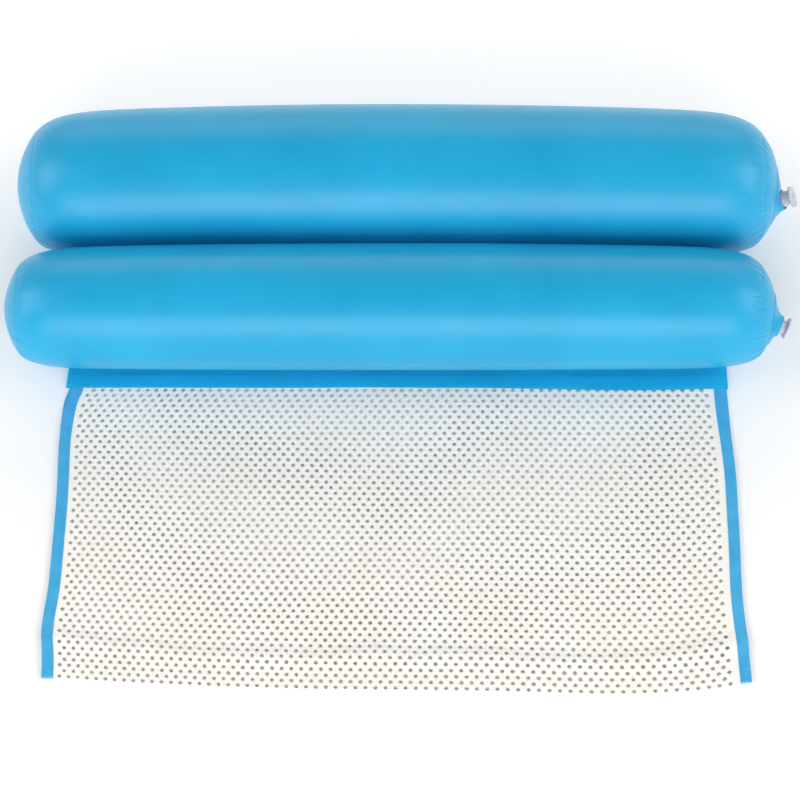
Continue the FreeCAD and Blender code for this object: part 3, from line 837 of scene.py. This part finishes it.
def fabric(name, first_row, last_row, sides):
    """The perforated fabric between two rows of holes. Each strand is thick in its middle and
    thin at the rims of the holes, as a coated yarn is. Beside the tapes the coating fills the
    holes to pinholes."""
    pitch = 2.0 / COLUMNS
    half = MESH_WIDTH / COLUMNS / 2
    corner_high = (half ** 2 + ROW_PITCH ** 2) / (2 * ROW_PITCH)
    corner_low = ROW_PITCH - corner_high
    cells, centres = [], []
    for row in range(first_row, last_row + 1):
        for column in range(COLUMNS - row % 2):
            cells.append((2 * column + row % 2 + 1, row))
            centres.append((-1 + pitch * (column + 0.5 + 0.5 * (row % 2)), (row + 0.5) * ROW_PITCH))
    cells = np.array(cells)
    centres = np.array(centres)
    # Cells share their corners, each named by its half column and its level, two to a row.
    around = np.array([(1, 0), (0, 1), (-1, 0), (-1, -1), (0, -2), (1, -1)])
    keys = (cells * (1, 2))[:, None] + around
    found, index = np.unique(keys.reshape(-1, 2), axis=0, return_inverse=True)
    index = index.reshape(-1, 6)
    level = found[:, 1]
    above_row = np.where(level % 2 == 0, corner_low, corner_high)
    corner_along = (level // 2 + 0.5) * ROW_PITCH + above_row
    corner_share = -1 + pitch * found[:, 0] / 2
    count = len(found)
    angle = turns_of(sides)
    random = np.random.default_rng(first_row + 500)
    size = random.uniform(0.94, 1.05, (len(centres), 1))
    from_edge = (1 - np.abs(centres[:, :1])) * MESH_WIDTH / 2
    size = np.where(from_edge < PLAIN_MARGIN, PINHOLE, size)
    hole_share = centres[:, :1] + np.cos(angle) * size * HOLE_ACROSS / half * pitch / 2
    hole_along = centres[:, 1:] + np.sin(angle) * size * HOLE_ALONG
    corners, facing = panel(corner_share, corner_along)
    rims, _ = panel(hole_share.ravel(), hole_along.ravel())
    points = np.concatenate([corners + facing * MESH_HALF, corners - facing * MESH_HALF, rims])
    rim_index = 2 * count + np.arange(len(centres) * sides).reshape(-1, sides)
    top = np.concatenate([index, rim_index], axis=1)
    bottom = np.concatenate([index + count, rim_index], axis=1)
    pattern = np.array(ring_pattern(sides, half, corner_low, corner_high))
    faces = [top[:, pattern].reshape(-1, 3)[:, ::-1], bottom[:, pattern].reshape(-1, 3)]
    edges = np.stack([index, np.roll(index, -1, axis=1)], axis=-1).reshape(-1, 2)
    code = edges[:, 0] * count + edges[:, 1]
    back = edges[:, 1] * count + edges[:, 0]
    border = edges[~np.isin(code, back)]
    faces.append(np.stack([border[:, 0], border[:, 1], border[:, 1] + count], axis=-1))
    faces.append(np.stack([border[:, 0], border[:, 1] + count, border[:, 0] + count], axis=-1))
    made = piece_of(name, points, np.concatenate(faces).tolist(), MESH)
    made.data.set_sharp_from_angle(angle=SHARP_EDGE)
    return made


def tape(name, side, start, end, stations):
    """Binding folded round the edge of the fabric: a U-shaped section swept along the edge."""
    wide, high, inside = TAPE_WIDTH, TAPE_HALF, TAPE_HALF - TAPE_WALL
    outline = rounded([
        (wide, high - 0.12 * MM, 0.1 * MM), (wide * 0.5, high + 0.1 * MM, 2 * MM),
        (0, high, 0.55 * MM), (0, -high, 0.55 * MM), (wide * 0.5, -high, 1 * MM),
        (wide, -high, 0.1 * MM), (wide, -inside, 0.05 * MM), (0.5 * MM, -inside, 0.1 * MM),
        (0.5 * MM, inside, 0.1 * MM), (wide, inside - 0.1 * MM, 0.05 * MM)], 3)
    along = np.linspace(start, end, stations)
    edge, facing = panel(np.full(stations, float(side)), along)
    inner, _ = panel(np.full(stations, side * 0.96), along)
    inward = inner - edge
    inward = unit(inward - np.sum(inward * facing, axis=-1, keepdims=True) * facing)
    points = (edge[:, None] + inward[:, None] * outline[None, :, :1]
              + facing[:, None] * outline[None, :, 1:])
    rows, columns, _ = points.shape
    quads = grid_quads(rows, columns, 0, True)
    if side < 0:
        quads = quads[:, ::-1]
    caps = [list(range(columns)), list(range((rows - 1) * columns, rows * columns))]
    caps[0 if side > 0 else 1].reverse()
    made = piece_of(name, points, quads.tolist() + caps, TAPE)
    return made


def dashes(name, centres, onward, facing):
    """Separate stitches: short rounded dashes of thread lying on a surface."""
    side = unit(np.cross(facing, onward))
    length, width, high, sunk = 1.7 * MM, 0.26 * MM, 0.16 * MM, 0.05 * MM
    sections = ((-1, 0.25), (-0.8, 0.85), (0, 1.0), (0.8, 0.85), (1, 0.25))
    corners = 6
    shape = []
    for t, size in sections:
        for k in range(corners):
            a = math.pi * k / 3
            up = (math.sin(a) * 0.8 + 0.2 * size) * high * size - sunk
            shape.append((t * length, math.cos(a) * width * size, up))
    count = len(shape)
    shape = np.array(shape)[None]
    points = (centres[:, None] + shape[..., :1] * onward[:, None]
              + shape[..., 1:2] * side[:, None] + shape[..., 2:] * facing[:, None])
    ends = [list(range(corners))[::-1], list(range(count - corners, count))]
    one = grid_quads(len(sections), corners, 0, True).tolist() + ends
    faces = [[corner + count * i for corner in face] for i in range(len(centres)) for face in one]
    made = piece_of(name, points, faces, THREAD)
    return made


def edge_stitches(name, start, end):
    """The seams of both bindings, on the side of the fabric that faces up when it is folded."""
    centres, onwards, facings = [], [], []
    for side in (-1, 1):
        along = np.arange(start + STITCH_MARGIN, end - STITCH_MARGIN, STITCH_PITCH)
        share = np.full(len(along), side * STITCH_SHARE)
        here, facing = panel(share, along)
        there, _ = panel(share, along + 0.5 * MM)
        facing = facing * np.where(along < 0, 1, -1)[:, None]
        centres.append(here + facing * (TAPE_HALF - 0.02 * MM))
        onwards.append(unit(there - here))
        facings.append(facing)
    return dashes(name, *[np.concatenate(rows) for rows in (centres, onwards, facings)])


def move_with_leg(made):
    """Rides with the upper layer, on a copy of its own mesh."""
    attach(made, "leg_panel")
    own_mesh(made)


def bend_at_fold(made):
    """Bakes the piece's place into its points."""
    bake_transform(made)


def make_panel():
    """Three lengths of fabric and tape: the upper layer, the turn at the fold and the lower one."""
    upper_rows = int(round((UPPER.lap_end - UPPER.front - END_MARGIN) / ROW_PITCH))
    lower_rows = int(round((LOWER.lap_end - LOWER.front - END_MARGIN) / ROW_PITCH))
    pieces = {
        "upper": fabric("mesh_top_layer", -upper_rows, -TURN_ROWS - 1, 12),
        "turn": fabric("mesh_turn", -TURN_ROWS, TURN_ROWS - 1, 12),
        "lower": fabric("mesh_bottom_layer", TURN_ROWS, lower_rows, 10),
    }
    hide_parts("mesh_upper")
    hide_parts("mesh_fold")
    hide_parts("mesh_lower")
    move_with_leg(pieces["upper"])
    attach(pieces["lower"], "root")
    bend_at_fold(pieces["turn"])
    tapes = {"upper": [], "turn": [], "lower": []}
    up_end = UPPER.length + TURN_HALF + 2 * MM
    low_end = LOWER.length + TURN_HALF + 2 * MM
    for side, word in ((-1, "left"), (1, "right")):
        upper = tape(f"tape_top_{word}", side, -up_end, -BORDER, 110)
        turn = tape(f"tape_turn_{word}", side, -BORDER, BORDER, 40)
        lower = tape(f"tape_bottom_{word}", side, BORDER, low_end, 110)
        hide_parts(f"binding_upper_{word}")
        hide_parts(f"binding_fold_{word}")
        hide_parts(f"binding_lower_{word}")
        move_with_leg(upper)
        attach(lower, "root")
        bend_at_fold(turn)
        for length, made in (("upper", upper), ("turn", turn), ("lower", lower)):
            tapes[length].append(made)
    upper_stitches = edge_stitches("tape_top_stitches", -up_end, -BORDER)
    lower_stitches = edge_stitches("tape_bottom_stitches", BORDER, low_end)
    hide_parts("binding_upper_stitches")
    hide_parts("binding_lower_stitches")
    move_with_leg(upper_stitches)
    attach(lower_stitches, "root")


# -------- strips between mesh and tubes

LAP, LAP_STEP = 12 * MM, 4 * MM  # how far the plies enclose the mesh, and how soon they meet
PLY_HALF = 0.2 * MM


class Strip:
    """Two plies of film that hold the edge of the mesh and are welded to the tube behind. The
    strip beside the leg tube is seen from the front, so its edge is less straight."""

    def __init__(self, tube, layer):
        self.tube, self.name, self.middle = tube, tube.name, layer.height
        self.seen = tube.name == "leg"
        self.low, self.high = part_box(f"{tube.name}_strip_top")
        self.depth = self.high.y - self.low.y
        self.back = self.depth + (5.5 * MM if self.seen else 2 * MM)
        self.strength = 1 if self.seen else 0.2

    def bulge(self, share):
        """How far forward the front edge bulges, at a share of its length from the left."""
        return -2.6 * MM * bell(share, 0.86, 0.16) * self.strength

    def under_tube(self, x, y, z, sign):
        """The heights of a ply, pressed down where the tube lies over it."""
        centre, radius = self.tube.ring((x - self.tube.middle[0]) / self.tube.half)
        off = y - centre[..., 1]
        skin = centre[..., 2] - np.sqrt(np.maximum(radius ** 2 - off ** 2, 0))
        ceiling = skin - 0.55 * MM - (0.2 * MM if sign > 0 else 0.6 * MM)
        pressed = np.minimum(z, np.maximum(ceiling, self.middle - 1.0 * MM))
        return np.where(np.abs(off) < 20 * MM, pressed, z)

    def ply(self, sign, word):
        """The upper ply for sign 1 and the lower one for -1; they close behind the mesh's edge."""
        inside = np.linspace(0, LAP + LAP_STEP, 12)
        behind = np.linspace(LAP + LAP_STEP, self.back, 18)[1:]
        share, y = np.meshgrid(np.linspace(0, 1, 220), np.concatenate([inside, behind]))
        front = self.bulge(share) + 0.35 * MM * ripple(31, share * 2.0) * self.strength
        closing = smooth_step((y - LAP) / LAP_STEP)
        left = self.low.x + 3.0 * MM * y / self.depth
        right = self.high.x + (3.2 * MM if self.seen else 0)
        x = left + (right - left) * share
        place_y = self.low.y + y + front * np.clip(1 - y / (20 * MM), 0, 1)
        z = self.middle + sign * (0.5 * MM * (1 - closing) + 0.2 * MM * closing)
        if sign > 0:
            wavy = 1 + ripple(33 + sign, share * 3.0, y / self.depth * 0.5)
            wavy = 0.25 * MM * wavy * (1 - closing * 0.6)
            ends = np.clip(y / (3 * MM), 0.25, 1) * np.clip((self.depth - y) / (12 * MM), 0, 1)
            z = z + wavy * ends
        if self.seen:
            z = self.under_tube(x, place_y, z, sign)
        points = np.stack([x, place_y, z], axis=-1)
        made = thick_grid(f"{self.name}_strip_{word}_ply", points, PLY_HALF, PLY_HALF, STRIP)
        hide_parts(f"{self.name}_strip_{word}")
        return made

    def seams(self):
        """Two rows of stitches through the plies and the mesh, where the CAD has them."""
        rows = []
        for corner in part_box(f"{self.name}_strip_stitches"):
            x = np.arange(self.low.x + 6 * MM, self.high.x - 6 * MM, STITCH_PITCH)
            bulge = self.bulge((x - self.low.x) / (self.high.x - self.low.x))
            height = np.full_like(x, self.middle + 0.95 * MM)
            rows.append(np.stack([x, corner.y + bulge, height], axis=-1))
        centres = np.concatenate(rows)
        onward = np.tile([1.0, 0, 0], (len(centres), 1))
        facing = np.tile([0.0, 0, 1], (len(centres), 1))
        stitches = dashes(f"{self.name}_strip_seams", centres, onward, facing)
        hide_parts(f"{self.name}_strip_stitches")
        return stitches

    def build(self):
        top, bottom = self.ply(1, "top"), self.ply(-1, "bottom")
        stitches = self.seams()
        if self.seen:
            for made in (top, bottom):
                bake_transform(made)
            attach(stitches, "leg_panel")
        else:
            for made in (top, bottom, stitches):
                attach(made, "root")


# -------- build

HEAD = Tube("head", 3 * MM, 40, {-1: math.radians(170), 1: math.radians(135)})
LEG = Tube("leg", 0.0, 60, {-1: math.radians(185), 1: math.radians(140)})
for tube in (HEAD, LEG):
    sleeve(tube)
    end_cap(tube, -1)
    end_cap(tube, 1)
    weld_band(tube)
    skirt(tube)
    valve(tube)
make_panel()
Strip(HEAD, LOWER).build()
Strip(LEG, UPPER).build()


# -------- floor, light and camera

def aimed(name, data, place, direction):
    """A lamp or camera at a place, looking in a direction."""
    made = bpy.data.objects.new(name, data)
    bpy.context.scene.collection.objects.link(made)
    made.location = place
    made.rotation_euler = direction.to_track_quat("-Z", "Y").to_euler()
    return made


def lamp(name, place, target, size, power, colour=(1, 1, 1)):
    light = bpy.data.lights.new(name, "AREA")
    light.shape = "RECTANGLE"
    light.size, light.size_y = size
    light.energy = power
    light.color = colour
    made = aimed(name, light, place, Vector(target) - Vector(place))
    made.visible_camera = False


def make_sky():
    """A white studio, brighter near the horizon than overhead."""
    world = bpy.data.worlds.new("studio")
    bpy.context.scene.world = world
    world.use_nodes = True
    tree = world.node_tree
    direction = tree.nodes.new("ShaderNodeTexCoord").outputs["Generated"]
    split = tree.nodes.new("ShaderNodeSeparateXYZ")
    tree.links.new(direction, split.inputs[0])
    height = tree.nodes.new("ShaderNodeMapRange")
    span = {"From Min": 0.0, "From Max": 0.95, "To Min": 0.95, "To Max": 0.22}
    for socket, value in span.items():
        height.inputs[socket].default_value = value
    tree.links.new(split.outputs["Z"], height.inputs["Value"])
    tree.links.new(height.outputs["Result"], tree.nodes["Background"].inputs["Strength"])
    tree.nodes["Background"].inputs["Color"].default_value = (1.0, 0.985, 0.965, 1)


def make_camera():
    camera = bpy.data.cameras.new("camera")
    camera.lens = 103.5
    camera.sensor_width = 36
    look = Vector((0, 0.43845, -0.89876))
    made = aimed("camera", camera, (-0.0046, -0.923, 1.910), look)
    bpy.context.scene.camera = made
    bpy.context.scene.view_settings.view_transform = "Standard"


floor = square("floor", 6, 0, floor_finish())
make_sky()
lamp("key", (0.0, -2.62, 1.42), (0, 0.05, 0.05), (3.6, 1.6), 56)
lamp("back", (0.0, 2.6, 1.5), (0, 0.5, 0), (3.6, 1.6), 19, (1, 0.96, 0.88))
lamp("left", (-2.6, -0.1, 1.9), (0, 0, 0.05), (1.8, 1.8), 27)
lamp("right", (2.6, -0.1, 1.9), (0, 0, 0.05), (1.8, 1.8), 27)
make_camera()
